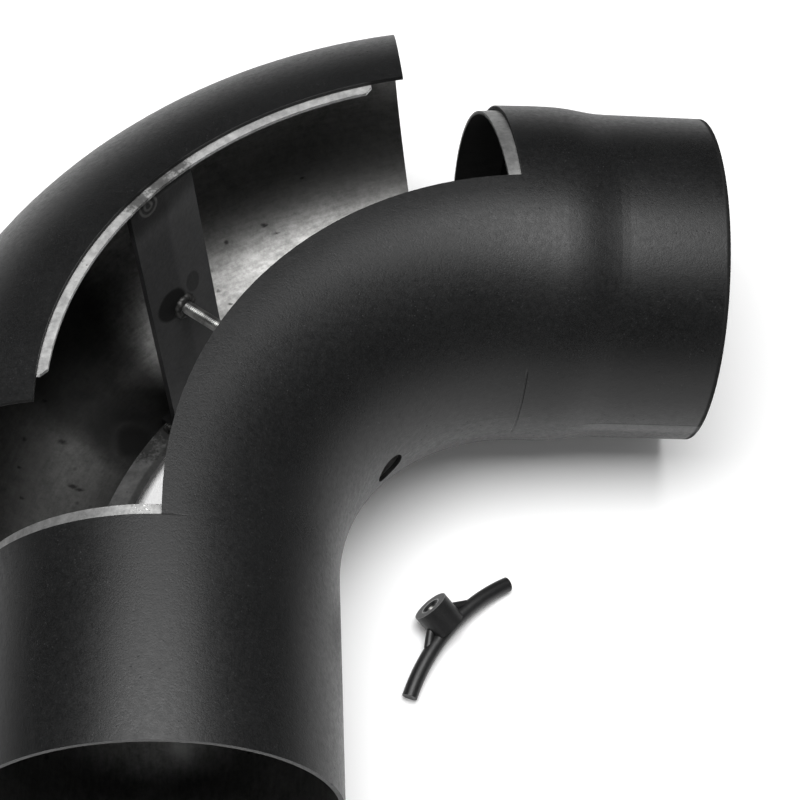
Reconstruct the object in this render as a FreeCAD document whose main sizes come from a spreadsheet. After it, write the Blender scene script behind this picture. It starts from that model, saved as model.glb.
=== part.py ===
"""Stove pipe elbow with a lift-off inspection door, taken apart on a table.

Frame: the origin is the centre of the socket rim. The socket leg runs along +Y into a right-angle
bend whose end turns into the spigot leg along +X. +Z is up, and the elbow lies on its side.
"""
import FreeCAD, Part
import math
import os

import Sketcher
from FreeCAD import Placement, Rotation, Vector

os.makedirs("parts", exist_ok=True)
doc = FreeCAD.newDocument("stove_pipe_elbow")

# Driving dimensions, millimetres and degrees
DIMENSIONS = {
    "pipe_diameter": 154.0,          # outside of the pipe
    "wall": 2.0,
    "bend_radius": 165.0,            # to the pipe's centre line
    "socket_leg": 101.0,             # straight pipe from the socket rim to the bend
    "neck_run": 8.0,                 # straight pipe from the bend to the neck
    "spigot_diameter": 149.0,        # outside of the necked end
    "spigot_length": 44.0,
    "neck_length": 28.0,             # from pipe to spigot, in two equal rounds
    "door_into_bend": 11.5,          # cross cut at the spigot leg, measured into the bend
    "door_past_bend": 6.5,           # cross cut at the socket leg, measured past the bend
    "saw_cut": 0.6,                  # width of the cut between door and pipe
    "strip_thickness": 1.5,
    "strip_slack": 0.3,              # play between a strip and the wall that slides over it
    "end_strip_lap": 10.0,           # part of an end strip welded under the pipe
    "end_strip_lip": 5.5,            # part that stands into the opening
    "side_strip_lap": 8.0,           # part of a side strip welded under the door
    "side_strip_lip": 4.0,           # part that stands out past the door's edge
    "side_strip_setback": 15.0,      # side strips stop this far short of the door's ends
    "strip_corner": 3.0,             # chamfer on the free corners of the side strips
    "stud_turn": 2.0,                # stud axis past the middle of the bend, degrees
    "stud_diameter": 6.0,
    "stud_reach": 15.0,              # thread that stands out of the throat on a closed door
    "stud_hole": 15.0,
    "yoke_width": 37.0,
    "yoke_thickness": 3.0,
    "yoke_foot": 11.0,
    "yoke_bend": 4.0,                # outside radius of the yoke's bends
    "yoke_play": 0.4,                # flat foot to curved strip
    "weld_leg": 3.0,
    "plug_weld": 6.0,
    "bar_diameter": 7.0,
    "bow_chord": 74.5,
    "bow_rise": 7.6,
    "boss_diameter": 17.2,
    "boss_height": 13.5,             # from the bow's centre line to the boss's face
    "boss_foot": 0.5,                # flat underside of the boss above the bow's centre line
    "thread_bore": 6.4,
    "bore_depth": 9.5,
    "bore_mouth": 8.6,
    "leg_diameter": 4.0,
    "stub_length": 14.0,
    "stub_rise": 6.4,                # start of a stub's centre line above the bow's centre line
    "stub_slant": 34.0,              # slope of a stub towards the bow, degrees
    "joint_gap": 0.3,                # between the bar and what is welded onto it
    "door_lean": 14.5,               # how far the loose door leans outwards, degrees
    "door_draw": 46.9,               # how far it stands out from its seat
    "door_side": 2.6,
    "handle_at_x": 134.1,            # middle of the bow on the table
    "handle_at_y": 118.1,
    "handle_turn": 50.2,             # direction of the bow's chord, degrees
}
sheet = doc.addObject("Spreadsheet::Sheet", "dims")
for row, (alias, value) in enumerate(DIMENSIONS.items(), start=1):
    sheet.set(f"A{row}", alias)
    sheet.set(f"B{row}", str(value))
    sheet.setAlias(f"B{row}", alias)
doc.recompute()


def size(alias):
    return float(sheet.get(alias))


PLANES = {"XY": "XY_Plane", "XZ": "XZ_Plane", "YZ": "YZ_Plane"}
X_AXIS, Y_AXIS = range(-1, -3, -1)
ORIGIN = X_AXIS
START, END, CENTRE = range(1, 4)
bodies = []


def new_body(label, placement=None):
    body = doc.addObject("PartDesign::Body", label)
    body.Label = label
    body.Placement = placement or Placement()
    bodies.append(body)
    return body


def origin_feature(body, role):
    return next(f for f in body.Origin.OriginFeatures if f.Role == role)


def sketch_on(body, plane, name):
    sketch = body.newObject("Sketcher::SketchObject", f"{body.Name}_{name}")
    sketch.AttachmentSupport = [(origin_feature(body, PLANES[plane]), "")]
    sketch.MapMode = "FlatFace"
    return sketch


def hold(sketch, name, expression, *constraint):
    """Adds a dimension and ties it to the sheet."""
    index = sketch.addConstraint(Sketcher.Constraint(*constraint))
    sketch.renameConstraint(index, name)
    sketch.setExpression(f"Constraints.{name}", expression)


def tie(sketch, *constraint):
    sketch.addConstraint(Sketcher.Constraint(*constraint))


def circle(sketch, name, x, diameter, y="0"):
    """Circle at (x, y), both expressions."""
    cx, cy, d = (float(sketch.evalExpression(e)) for e in (x, y, diameter))
    index = sketch.addGeometry(Part.Circle(Vector(cx, cy, 0), Vector(0, 0, 1), d / 2))
    for axis, place, value, text in (("X", "x", cx, x), ("Y", "y", cy, y)):
        if abs(value) < 1e-9:
            tie(sketch, "PointOnObject", index, CENTRE, Y_AXIS if axis == "X" else X_AXIS)
        else:
            hold(sketch, f"{name}_{place}", text, f"Distance{axis}", ORIGIN, START, index, CENTRE, value)
    hold(sketch, f"{name}_diameter", diameter, "Diameter", index, d)
    return index


def sector(sketch, centre_x, outer, inner, start, end):
    """Band of a ring about (centre_x, 0) from angle start to angle end, all expressions."""
    cx, r_out, r_in, a, b = (float(sketch.evalExpression(e)) for e in (centre_x, outer, inner, start, end))
    centre = Vector(cx, 0, 0)
    up = Vector(0, 0, 1)
    a_rad, b_rad = math.radians(a), math.radians(b)
    arcs = [sketch.addGeometry(Part.ArcOfCircle(Part.Circle(centre, up, r), a_rad, b_rad))
            for r in (r_out, r_in)]
    sides = []
    for angle in (a_rad, b_rad):
        ray = Vector(math.cos(angle), math.sin(angle), 0)
        sides.append(sketch.addGeometry(Part.LineSegment(centre + ray * r_in, centre + ray * r_out)))
    tie(sketch, "Coincident", arcs[0], CENTRE, arcs[1], CENTRE)
    tie(sketch, "PointOnObject", arcs[0], CENTRE, X_AXIS)
    if abs(cx) < 1e-9:
        tie(sketch, "PointOnObject", arcs[0], CENTRE, Y_AXIS)
    else:
        hold(sketch, "centre", centre_x, "DistanceX", ORIGIN, START, arcs[0], CENTRE, cx)
    hold(sketch, "outer", outer, "Radius", arcs[0], r_out)
    hold(sketch, "inner", inner, "Radius", arcs[1], r_in)
    for side, point, name, angle, text in ((sides[0], START, "start_angle", a_rad, start),
                                           (sides[1], END, "end_angle", b_rad, end)):
        tie(sketch, "Coincident", side, START, arcs[1], point)
        tie(sketch, "Coincident", side, END, arcs[0], point)
        tie(sketch, "PointOnObject", arcs[0], CENTRE, side)
        hold(sketch, name, text, "Angle", side, angle)


def line(sketch, start, end, construction=False):
    return sketch.addGeometry(Part.LineSegment(Vector(*start, 0), Vector(*end, 0)), construction)


def polygon(sketch, corners):
    """Closed outline through the corners, as joined lines."""
    sides = [line(sketch, a, b) for a, b in zip(corners, corners[1:] + corners[:1])]
    for side, following in zip(sides, sides[1:] + sides[:1]):
        tie(sketch, "Coincident", side, END, following, START)
    return sides


def turn(body, kind, name, sketch, axis, angle=360.0, middle=False, back=False):
    """Revolution or Groove of a sketch about an axis."""
    feature = body.newObject(f"PartDesign::{kind}", name)
    feature.Profile = sketch
    feature.ReferenceAxis = axis
    feature.Midplane = middle
    feature.Reversed = back
    if isinstance(angle, str):
        feature.setExpression("Angle", angle)
    else:
        feature.Angle = angle
    doc.recompute()
    return feature


def pad(body, name, sketch, length, back=False, middle=False, kind="Pad"):
    """Pad or Pocket of a sketch by a length from the sheet."""
    feature = body.newObject(f"PartDesign::{kind}", name)
    feature.Profile = sketch
    feature.Reversed = back
    feature.Midplane = middle
    feature.setExpression("Length", length)
    doc.recompute()
    return feature


def corner_edges(shape, test):
    """Names of the edges whose centre of mass passes the test."""
    return [f"Edge{i}" for i, edge in enumerate(shape.Edges, start=1) if test(edge)]


# Places that several pieces share
BEND_CENTRE = Vector(size("bend_radius"), size("socket_leg"), 0)
PER_MM = 180 / (math.pi * size("bend_radius"))
SPIGOT_END_ANGLE = 90.0
MIDDLE_ANGLE = 135.0
SOCKET_END_ANGLE = 180.0
CUT_ANGLE = SPIGOT_END_ANGLE + size("door_into_bend") * PER_MM
STUD_ANGLE = MIDDLE_ANGLE + size("stud_turn")
PIPE_R = "dims.pipe_diameter / 2"
BORE_R = "(dims.pipe_diameter / 2 - dims.wall)"
STRIP_OUT = f"({BORE_R} - dims.strip_slack)"
STRIP_IN = f"({STRIP_OUT} - dims.strip_thickness)"
MM_TO_DEG = "180 / (pi * dims.bend_radius)"


def about_bend(angle):
    """Local frame at the bend's centre whose X axis points out at the given angle."""
    return Placement(BEND_CENTRE, Rotation(Vector(0, 0, 1), angle))


def door_rest():
    """Where the loose door stands: it leans on its outside about the tangent of its own centre
    line, and stands out from its seat."""
    lean_at = Vector(size("bend_radius"), 0, 0)
    lean = Placement(Vector(), Rotation(Vector(0, 1, 0), size("door_lean")), lean_at)
    shift = Placement(Vector(size("door_draw"), size("door_side"), 0), Rotation())
    stud_frame = about_bend(STUD_ANGLE)
    return stud_frame * shift * lean * stud_frame.inverse()


DOOR_REST = door_rest()

# Elbow body: one bent pipe, necked at the spigot, with the door sawn out of its outer half
elbow = new_body("elbow_body")
route = sketch_on(elbow, "XY", "route")
r_bend, leg = size("bend_radius"), size("socket_leg")
pipe_r, spigot_r, wall = size("pipe_diameter") / 2, size("spigot_diameter") / 2, size("wall")
axis_y = leg + r_bend
ring = sketch_on(elbow, "XZ", "ring")
circle(ring, "outside", "0", "dims.pipe_diameter")
circle(ring, "bore", "0", "dims.pipe_diameter - 2 * dims.wall")
pad(elbow, "socket_leg", ring, "dims.socket_leg", back=True)

bend_ring = sketch_on(elbow, "XZ", "bend_ring")
bend_ring.setExpression("AttachmentOffset.Base.z", "-dims.socket_leg")
circle(bend_ring, "outside", "0", "dims.pipe_diameter")
circle(bend_ring, "bore", "0", "dims.pipe_diameter - 2 * dims.wall")
pivot = line(bend_ring, (r_bend, 0), (r_bend, pipe_r), True)
tie(bend_ring, "Vertical", pivot)
tie(bend_ring, "PointOnObject", pivot, START, X_AXIS)
hold(bend_ring, "pivot_place", "dims.bend_radius", "DistanceX", ORIGIN, START, pivot, START, r_bend)
hold(bend_ring, "pivot_length", PIPE_R, "Distance", pivot, pipe_r)
turn(elbow, "Revolution", "bend", bend_ring, (bend_ring, ["Axis0"]), 90.0, back=True)


def arc_between(sketch, centre, start, end):
    """Short arc about a centre; returns its number and the numbers of its two ends."""
    a, b = (math.atan2(p[1] - centre[1], p[0] - centre[0]) for p in (start, end))
    forward = (b - a) % (2 * math.pi) < math.pi
    first, last = (a, b) if forward else (b, a)
    radius = math.dist(centre, start)
    round_line = Part.Circle(Vector(*centre, 0), Vector(0, 0, 1), radius)
    index = sketch.addGeometry(
        Part.ArcOfCircle(round_line, first, first + (last - first) % (2 * math.pi)))
    return (index, START, END) if forward else (index, END, START)


# Spigot leg: a straight run, a neck of two equal tangent rounds, and the spigot, turned in one
neck = sketch_on(elbow, "XY", "neck")
run_length, neck_length = size("neck_run"), size("neck_length")
neck_start, neck_end = r_bend + run_length, r_bend + run_length + neck_length
rim_x = neck_end + size("spigot_length")
drop = pipe_r - spigot_r
round_r = math.copysign((neck_length ** 2 + drop ** 2) / (4 * abs(drop)), drop)
half_way = (neck_start + neck_end) / 2


def neck_curve(outer_y, spigot_y):
    """Run, two rounds and spigot at one face of the wall; each entry is number, first end, last end."""
    middle = (half_way, (outer_y + spigot_y) / 2)
    chain = [(line(neck, (r_bend, outer_y), (neck_start, outer_y)), START, END),
             arc_between(neck, (neck_start, outer_y - round_r), (neck_start, outer_y), middle),
             arc_between(neck, (neck_end, spigot_y + round_r), middle, (neck_end, spigot_y)),
             (line(neck, (neck_end, spigot_y), (rim_x, spigot_y)), START, END)]
    for (one, _, last), (other, first, _) in zip(chain, chain[1:]):
        tie(neck, "Tangent", one, last, other, first)
    tie(neck, "Equal", chain[1][0], chain[2][0])
    tie(neck, "Horizontal", chain[0][0])
    tie(neck, "Horizontal", chain[3][0])
    return chain[0][0], chain[3][0]


outer_run, outer_spigot = neck_curve(axis_y + pipe_r, axis_y + spigot_r)
inner_run, inner_spigot = neck_curve(axis_y + pipe_r - wall, axis_y + spigot_r - wall)
joint_face = line(neck, (r_bend, axis_y + pipe_r - wall), (r_bend, axis_y + pipe_r))
rim_face = line(neck, (rim_x, axis_y + spigot_r - wall), (rim_x, axis_y + spigot_r))
for face, point, inner, outer in ((joint_face, START, inner_run, outer_run),
                                  (rim_face, END, inner_spigot, outer_spigot)):
    tie(neck, "Vertical", face)
    tie(neck, "Coincident", face, START, inner, point)
    tie(neck, "Coincident", face, END, outer, point)
tie(neck, "Vertical", inner_run, END, outer_run, END)
tie(neck, "Vertical", inner_spigot, START, outer_spigot, START)
axis = line(neck, (0, axis_y), (r_bend, axis_y), True)
tie(neck, "PointOnObject", axis, START, Y_AXIS)
tie(neck, "Horizontal", axis)
tie(neck, "Vertical", axis, END, outer_run, START)
hold(neck, "axis_height", "dims.socket_leg + dims.bend_radius", "DistanceY",
     ORIGIN, START, axis, START, axis_y)
hold(neck, "bend_end", "dims.bend_radius", "Distance", axis, r_bend)
hold(neck, "run", "dims.neck_run", "Distance", outer_run, run_length)
hold(neck, "neck", "dims.neck_length", "DistanceX", outer_run, END, outer_spigot, START, neck_length)
hold(neck, "spigot", "dims.spigot_length", "Distance", outer_spigot, size("spigot_length"))
hold(neck, "pipe_radius", PIPE_R, "DistanceY", axis, END, outer_run, START, pipe_r)
hold(neck, "spigot_radius", "dims.spigot_diameter / 2", "DistanceY", axis, END, outer_spigot, END, spigot_r)
hold(neck, "pipe_wall", "dims.wall", "Distance", joint_face, wall)
hold(neck, "spigot_wall", "dims.wall", "Distance", rim_face, wall)
spigot = turn(elbow, "Revolution", "spigot_leg", neck, (neck, ["Axis0"]))

# The door opening follows the pipe's centre line, so both side cuts run along its top and bottom
cut = sketch_on(elbow, "XY", "door_cut")
cut_angle = math.radians(CUT_ANGLE)
past, beyond = size("door_past_bend"), size("pipe_diameter")
left, top = -beyond, axis_y + beyond
ray = Vector(math.cos(cut_angle), math.sin(cut_angle), 0)
near, far = BEND_CENTRE + ray * r_bend, BEND_CENTRE + ray * ((top - leg) / ray.y)
seam = cut.addGeometry(Part.ArcOfCircle(
    Part.Circle(BEND_CENTRE, Vector(0, 0, 1), r_bend), cut_angle, math.pi))
points = [Vector(0, leg, 0), Vector(0, leg - past, 0), Vector(left, leg - past, 0), Vector(left, top, 0),
          far, near]
edge, cross, outer_side, outer_top, radial = [
    cut.addGeometry(Part.LineSegment(a, b)) for a, b in zip(points, points[1:])]
for side, following in ((edge, cross), (cross, outer_side), (outer_side, outer_top), (outer_top, radial)):
    tie(cut, "Coincident", side, END, following, START)
tie(cut, "Coincident", seam, END, edge, START)
tie(cut, "Coincident", radial, END, seam, START)
tie(cut, "PointOnObject", edge, START, Y_AXIS)
for side in (edge, outer_side):
    tie(cut, "Vertical", side)
for side in (cross, outer_top):
    tie(cut, "Horizontal", side)
tie(cut, "PointOnObject", seam, CENTRE, radial)
tie(cut, "Horizontal", seam, CENTRE, seam, END)
hold(cut, "bend", "dims.bend_radius", "Radius", seam, r_bend)
hold(cut, "leg", "dims.socket_leg", "DistanceY", ORIGIN, START, edge, START, leg)
hold(cut, "past_bend", "dims.door_past_bend", "Distance", edge, past)
hold(cut, "clear", "dims.pipe_diameter", "Distance", cross, beyond)
hold(cut, "clear_top", "dims.socket_leg + dims.bend_radius + dims.pipe_diameter", "DistanceY",
     ORIGIN, START, outer_top, START, top)
hold(cut, "into_bend", f"-90 + dims.door_into_bend * {MM_TO_DEG}", "Angle", radial, cut_angle - math.pi)
opening = pad(elbow, "door_opening", cut, "2 * dims.pipe_diameter", middle=True, kind="Pocket")
assert opening.Shape.Volume < spigot.Shape.Volume

# Hole in the throat of the bend, on the stud's axis
hole = sketch_on(elbow, "XY", "stud_hole")
hole.setExpression("AttachmentOffset.Base.x", "dims.bend_radius")
hole.setExpression("AttachmentOffset.Base.y", "dims.socket_leg")
hole.AttachmentOffset = Placement(BEND_CENTRE, Rotation(Vector(0, 0, 1), STUD_ANGLE))
hole.setExpression("AttachmentOffset.Rotation.Angle", "135 + dims.stud_turn")
throat = r_bend - pipe_r
hole_r, margin = size("stud_hole") / 2, 3 * wall
box = polygon(hole, [(throat - margin, 0), (throat + margin, 0), (throat + margin, hole_r),
                     (throat - margin, hole_r)])
for side in (box[1], box[3]):
    tie(hole, "Vertical", side)
tie(hole, "Horizontal", box[2])
tie(hole, "PointOnObject", box[0], START, X_AXIS)
tie(hole, "PointOnObject", box[0], END, X_AXIS)
hold(hole, "inner_end", f"dims.bend_radius - {PIPE_R} - 3 * dims.wall", "DistanceX",
     ORIGIN, START, box[0], START, throat - margin)
hold(hole, "length", "6 * dims.wall", "Distance", box[0], 2 * margin)
hold(hole, "radius", "dims.stud_hole / 2", "Distance", box[1], hole_r)
drilled = turn(elbow, "Groove", "stud_hole", hole, (hole, ["H_Axis"]))
assert drilled.Shape.Volume < opening.Shape.Volume

# Bare steel arcs welded under both cross cuts; each stands into the opening and stops the door
spigot_strip = new_body("spigot_end_strip", about_bend(CUT_ANGLE - size("end_strip_lap") * PER_MM))
band = sketch_on(spigot_strip, "XZ", "band")
sector(band, "dims.bend_radius", STRIP_OUT, STRIP_IN, "-90", "90")
turn(spigot_strip, "Revolution", "spigot_strip_arc", band, (origin_feature(spigot_strip, "Z_Axis"), [""]),
     f"(dims.end_strip_lap + dims.end_strip_lip) * {MM_TO_DEG}")

socket_strip = new_body("socket_end_strip", Placement(
    Vector(0, leg - past + size("end_strip_lip"), 0), Rotation(Vector(0, 0, 1), 180)))
band = sketch_on(socket_strip, "XZ", "band")
sector(band, "0", STRIP_OUT, STRIP_IN, "-90", "90")
pad(socket_strip, "socket_strip_arc", band, "dims.end_strip_lap + dims.end_strip_lip", back=True)

# Door shell: the outer half of the bend itself, smaller than its opening by the saw cut
SAW_ANGLE = size("saw_cut") * PER_MM
SWEEP = f"(90 - (dims.door_into_bend + dims.saw_cut) * {MM_TO_DEG})"
KERF_ANGLE = f"dims.saw_cut / {PIPE_R} * 180 / pi"
shell = new_body("door_shell", DOOR_REST * about_bend(CUT_ANGLE + SAW_ANGLE))
half = sketch_on(shell, "XZ", "half")
sector(half, "dims.bend_radius", PIPE_R, BORE_R, f"-90 + {KERF_ANGLE}", f"90 - {KERF_ANGLE}")
turn(shell, "Revolution", "door_bend", half, (origin_feature(shell, "Z_Axis"), [""]), SWEEP)
end_half = sketch_on(shell, "XZ", "end_half")
end_half.AttachmentOffset = Placement(Vector(), Rotation(Vector(0, 1, 0), SOCKET_END_ANGLE / 2))
end_half.setExpression("AttachmentOffset.Rotation.Angle", SWEEP)
sector(end_half, "dims.bend_radius", PIPE_R, BORE_R, f"-90 + {KERF_ANGLE}", f"90 - {KERF_ANGLE}")
pad(shell, "door_run", end_half, "dims.door_past_bend - dims.saw_cut", back=True)

# Bare strips along both side cuts, spot welded under the door's edge and standing out past it
LAP_ANGLE = f"dims.side_strip_lap / {STRIP_OUT} * 180 / pi"
LIP_ANGLE = f"dims.side_strip_lip / {STRIP_OUT} * 180 / pi"
setback = size("side_strip_setback")
STRIP_START = CUT_ANGLE + setback * PER_MM
for name, low, high in (("upper", f"90 - {LAP_ANGLE}", f"90 + {LIP_ANGLE}"),
                        ("lower", f"-90 - {LIP_ANGLE}", f"-90 + {LAP_ANGLE}")):
    strip = new_body(f"door_side_strip_{name}", DOOR_REST * about_bend(STRIP_START))
    band = sketch_on(strip, "XZ", "band")
    sector(band, "dims.bend_radius", STRIP_OUT, STRIP_IN, low, high)
    bar = turn(strip, "Revolution", f"strip_arc_{name}", band, (origin_feature(strip, "Z_Axis"), [""]),
               "90 - (dims.door_into_bend + 2 * dims.side_strip_setback"
               f" - dims.door_past_bend) * {MM_TO_DEG}")
    end_turn = math.radians(SOCKET_END_ANGLE - STRIP_START - (setback - past) * PER_MM)
    lip_radius = r_bend - size("side_strip_lip")
    ends = [Vector(lip_radius * math.cos(a), lip_radius * math.sin(a), 0) for a in (0, end_turn)]
    snipped = strip.newObject("PartDesign::Chamfer", f"strip_corners_{name}")
    snipped.Base = (bar, corner_edges(bar.Shape, lambda e: e.Length < 1.5 * size("strip_thickness") and min(
        (Vector(e.CenterOfMass.x, e.CenterOfMass.y, 0) - end).Length for end in ends) < 1))
    snipped.setExpression("Size", "dims.strip_corner")
    doc.recompute()

# Yoke: a flat strap across the pipe's middle, its two feet bent out along the strips
foot_height = math.sqrt((pipe_r - wall - size("strip_slack") - size("strip_thickness")) ** 2
                        - (size("yoke_foot") - size("yoke_thickness")) ** 2) - size("yoke_play")
FOOT_HEIGHT = f"(sqrt({STRIP_IN} ^ 2 - (dims.yoke_foot - dims.yoke_thickness) ^ 2) - dims.yoke_play)"
yoke_t, foot = size("yoke_thickness"), size("yoke_foot")
yoke_face = r_bend - yoke_t
yoke = new_body("door_yoke", DOOR_REST * about_bend(STUD_ANGLE))
channel = sketch_on(yoke, "XZ", "channel")
sides = polygon(channel, [
    (yoke_face, -foot_height), (yoke_face + foot, -foot_height), (yoke_face + foot, -foot_height + yoke_t),
    (r_bend, -foot_height + yoke_t), (r_bend, foot_height - yoke_t), (yoke_face + foot, foot_height - yoke_t),
    (yoke_face + foot, foot_height), (yoke_face, foot_height)])
for side in sides[0::2]:
    tie(channel, "Horizontal", side)
for side in sides[1:7:2]:
    tie(channel, "Vertical", side)
tie(channel, "Symmetric", sides[7], START, sides[7], END, X_AXIS)
tie(channel, "Equal", sides[1], sides[5])
tie(channel, "Equal", sides[0], sides[6])
hold(channel, "height", f"2 * {FOOT_HEIGHT}", "Distance", sides[7], 2 * foot_height)
hold(channel, "foot", "dims.yoke_foot", "Distance", sides[0], foot)
hold(channel, "foot_thickness", "dims.yoke_thickness", "Distance", sides[1], yoke_t)
hold(channel, "web_thickness", "dims.yoke_thickness", "DistanceX", sides[0], START, sides[3], START, yoke_t)
hold(channel, "web_place", "dims.bend_radius", "DistanceX", ORIGIN, START, sides[3], START, r_bend)
strap = pad(yoke, "yoke_strap", channel, "dims.yoke_width", middle=True)
bent = yoke.newObject("PartDesign::Fillet", "yoke_bends")
bent.Base = (strap, corner_edges(strap.Shape, lambda e: (
    abs(e.Length - size("yoke_width")) < 0.01 and abs(e.CenterOfMass.x - yoke_face) < 0.01)))
bent.setExpression("Radius", "dims.yoke_bend")
doc.recompute()

# Stud: threaded rod welded square on the yoke, long enough to leave the throat of a closed door
stud = new_body("door_stud", DOOR_REST * about_bend(STUD_ANGLE))
face = sketch_on(stud, "YZ", "rod")
circle(face, "rod", "0", "dims.stud_diameter")
face.setExpression("AttachmentOffset.Base.z", "dims.bend_radius - dims.yoke_thickness")
rod = pad(stud, "rod", face, f"{PIPE_R} + dims.stud_reach - dims.yoke_thickness", back=True)
tip = stud.newObject("PartDesign::Chamfer", "rod_tip")
tip.Base = (rod, corner_edges(rod.Shape, lambda e: (
    isinstance(e.Curve, Part.Circle) and abs(e.CenterOfMass.x - (throat - size("stud_reach"))) < 0.01)))
tip.setExpression("Size", "dims.stud_diameter / 8")
doc.recompute()

# Weld round the stud's foot: an even collar with a slanting face
stud_weld = new_body("stud_weld", DOOR_REST * about_bend(STUD_ANGLE))
toe = sketch_on(stud_weld, "XY", "toe")
rod_r, weld = size("stud_diameter") / 2, size("weld_leg")
base, slant, throat_side = polygon(toe, [(yoke_face, rod_r), (yoke_face, rod_r + weld),
                                         (yoke_face - weld, rod_r)])
tie(toe, "Vertical", base)
tie(toe, "Horizontal", throat_side)
tie(toe, "Equal", base, throat_side)
hold(toe, "leg", "dims.weld_leg", "Distance", base, weld)
hold(toe, "rod", "dims.stud_diameter / 2", "DistanceY", ORIGIN, START, base, START, rod_r)
hold(toe, "face", "dims.bend_radius - dims.yoke_thickness", "DistanceX",
     ORIGIN, START, base, START, yoke_face)
turn(stud_weld, "Revolution", "ring_weld", toe, (origin_feature(stud_weld, "X_Axis"), [""]))

# Plug weld through the upper foot: a low dome on its inside, beside the bend
upper_weld = new_body("yoke_weld_upper", DOOR_REST * about_bend(STUD_ANGLE))
disc = sketch_on(upper_weld, "XY", "disc")
disc.setExpression("AttachmentOffset.Base.z", f"{FOOT_HEIGHT} - dims.yoke_thickness")
circle(disc, "disc", "dims.bend_radius - dims.yoke_thickness + dims.yoke_bend + dims.plug_weld / 2 + 0.4",
       "dims.plug_weld", "dims.weld_leg")
dome = pad(upper_weld, "plug", disc, "dims.weld_leg / 2", back=True)
crown = upper_weld.newObject("PartDesign::Chamfer", "plug_crown")
crown.Base = (dome, corner_edges(dome.Shape, lambda e: (
    isinstance(e.Curve, Part.Circle) and e.CenterOfMass.z < foot_height - 1.01 * yoke_t)))
crown.setExpression("Size", "dims.weld_leg / 3")
doc.recompute()

# Bead along the end of the lower foot, a quarter round in the corner between foot and strip
lower_weld = new_body("yoke_weld_lower", DOOR_REST * about_bend(STUD_ANGLE))
bead = sketch_on(lower_weld, "YZ", "bead")
bead.setExpression("AttachmentOffset.Base.z", "dims.bend_radius")
corner = Vector(size("yoke_width") / 2, -foot_height, 0)
tip_out, tip_up = corner + Vector(weld, 0, 0), corner + Vector(0, weld, 0)
foot_line = bead.addGeometry(Part.LineSegment(corner, tip_out))
edge_line = bead.addGeometry(Part.LineSegment(tip_up, corner))
swell = bead.addGeometry(Part.ArcOfCircle(Part.Circle(corner, Vector(0, 0, 1), weld), 0, math.pi / 2))
tie(bead, "Coincident", foot_line, END, swell, START)
tie(bead, "Coincident", swell, END, edge_line, START)
tie(bead, "Coincident", edge_line, END, foot_line, START)
tie(bead, "Coincident", swell, CENTRE, foot_line, START)
tie(bead, "Horizontal", foot_line)
tie(bead, "Vertical", edge_line)
hold(bead, "leg", "dims.weld_leg", "Radius", swell, weld)
hold(bead, "along", "dims.yoke_width / 2", "DistanceX", ORIGIN, START, swell, CENTRE, corner.x)
hold(bead, "depth", FOOT_HEIGHT, "DistanceY", swell, CENTRE, ORIGIN, START, foot_height)
pad(lower_weld, "lump", bead, "dims.yoke_foot - 2 * dims.yoke_thickness")

# Handle: a bowed bar with a threaded boss on its outside, lying on the boss and both bar ends
bar_r, rise, half_chord = size("bar_diameter") / 2, size("bow_rise"), size("bow_chord") / 2
bow_radius = (half_chord ** 2 + rise ** 2) / (2 * rise)
BOW_RADIUS = "((dims.bow_chord / 2) ^ 2 + dims.bow_rise ^ 2) / (2 * dims.bow_rise)"
boss_r = size("boss_diameter") / 2
lever, drop = rise + size("boss_foot"), boss_r
handle_tilt = math.degrees(math.atan2(drop, lever) - math.asin(bar_r / math.hypot(lever, drop)))
bow_height = -pipe_r + bar_r + rise * math.sin(math.radians(handle_tilt))
handle_rest = Placement(Vector(size("handle_at_x"), size("handle_at_y"), bow_height),
                        Rotation(Vector(0, 0, 1), size("handle_turn"))
                        * Rotation(Vector(1, 0, 0), handle_tilt))


def along_bow(body, kind, name, diameter):
    """A round bar that follows the bow, added or cut: a circle turned about the bow's centre."""
    section = sketch_on(body, "YZ", f"{name}_section")
    circle(section, "bar", "0", diameter)
    pivot = line(section, (-bow_radius, 0), (-bow_radius, bar_r), True)
    tie(section, "Vertical", pivot)
    tie(section, "PointOnObject", pivot, START, X_AXIS)
    hold(section, "pivot_place", BOW_RADIUS, "DistanceX", pivot, START, ORIGIN, START, bow_radius)
    hold(section, "pivot_length", "dims.bar_diameter / 2", "Distance", pivot, bar_r)
    return turn(body, kind, name, section, (section, ["Axis0"]),
                f"2 * asin(dims.bow_chord / 2 / ({BOW_RADIUS}))", middle=True)


bow = new_body("handle_bow", handle_rest)
along_bow(bow, "Revolution", "bar", "dims.bar_diameter")

# Boss: turned from round bar, bored for the stud, coped to sit over the bow
boss = new_body("handle_boss", handle_rest)
turned = sketch_on(boss, "XY", "turned")
foot_y, top_y = size("boss_foot"), size("boss_height")
floor_y = top_y - size("bore_depth")
bore_r, mouth_r = size("thread_bore") / 2, size("bore_mouth") / 2
mouth_y = top_y - (mouth_r - bore_r)
profile = [(0, foot_y), (boss_r, foot_y), (boss_r, top_y), (mouth_r, top_y), (bore_r, mouth_y),
           (bore_r, floor_y), (0, floor_y)]
faces = polygon(turned, profile)
foot_face, side_face, top_face, mouth_face, bore_face, floor_face, core = faces
for face in (foot_face, top_face, floor_face):
    tie(turned, "Horizontal", face)
for face in (side_face, bore_face):
    tie(turned, "Vertical", face)
tie(turned, "PointOnObject", core, START, Y_AXIS)
tie(turned, "PointOnObject", core, END, Y_AXIS)
hold(turned, "foot", "dims.boss_foot", "DistanceY", ORIGIN, START, core, END, foot_y)
hold(turned, "top", "dims.boss_height", "DistanceY", ORIGIN, START, top_face, END, top_y)
hold(turned, "outside", "dims.boss_diameter / 2", "DistanceX", foot_face, START, foot_face, END, boss_r)
hold(turned, "bore", "dims.thread_bore / 2", "DistanceX", ORIGIN, START, bore_face, START, bore_r)
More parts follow.
